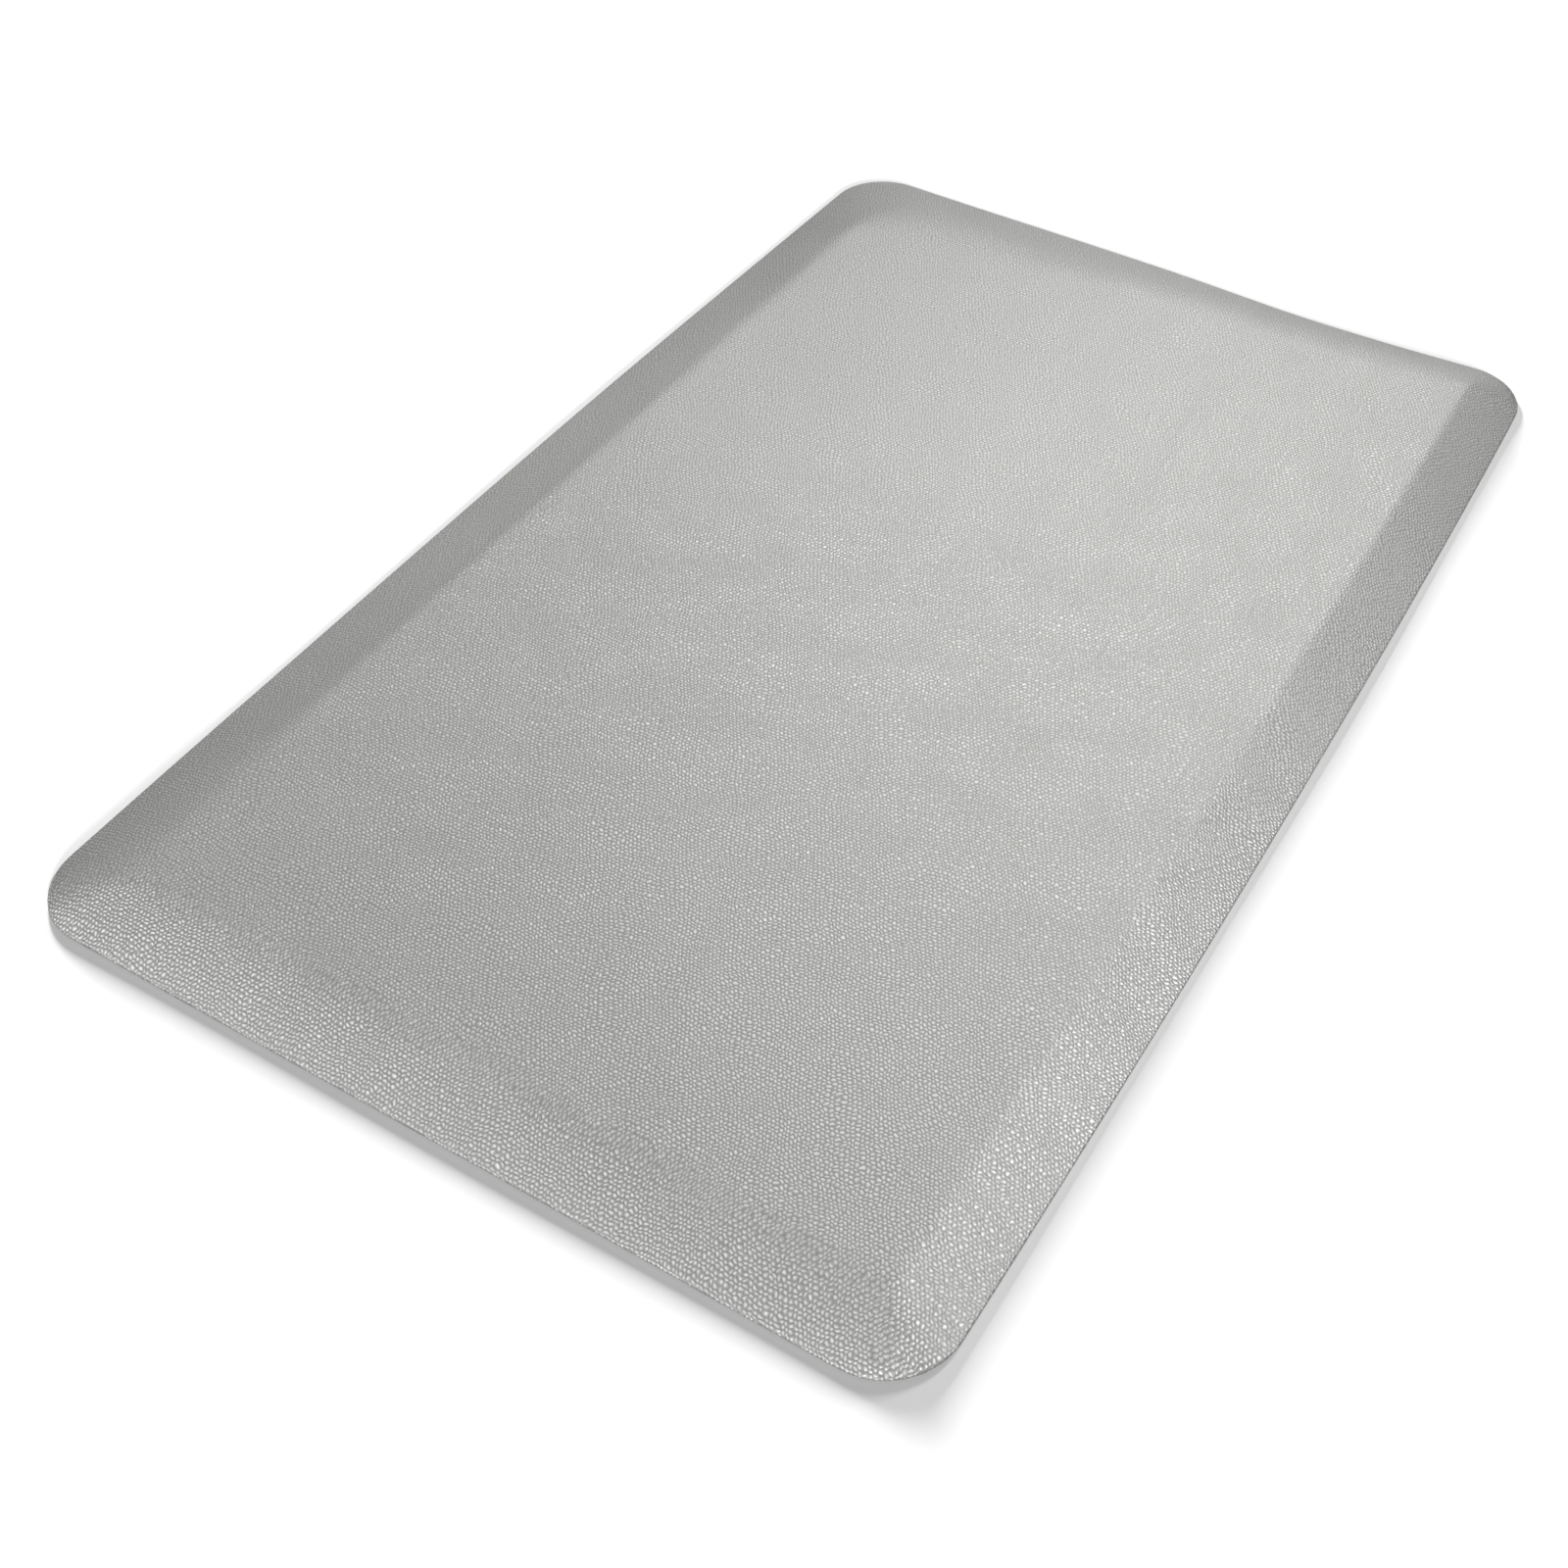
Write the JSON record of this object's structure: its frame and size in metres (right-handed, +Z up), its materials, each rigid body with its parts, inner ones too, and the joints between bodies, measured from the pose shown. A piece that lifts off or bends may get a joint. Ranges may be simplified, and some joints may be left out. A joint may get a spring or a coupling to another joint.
{
  "type": "anti fatigue mat",
  "caption": "Rectangular cushioned standing mat with rounded corners, sloping edges on every side and a pebble-embossed vinyl top over a foam core.",
  "frame": {"origin": "centre of the underside, on the floor", "axes": "+Z up out of the standing surface, +Y along the length, +X across the width"},
  "size_m": [0.61, 1.016, 0.019],
  "materials": {
    "vinyl": "satin",
    "cloth": "matte",
    "foam": "matte",
    "grip_sheet": "matte"
  },
  "bodies": {
    "root": {"wear_skin": "vinyl", "backing_cloth": "cloth", "foam_core": "foam", "grip_base": "grip_sheet"}
  },
  "joints": []
}
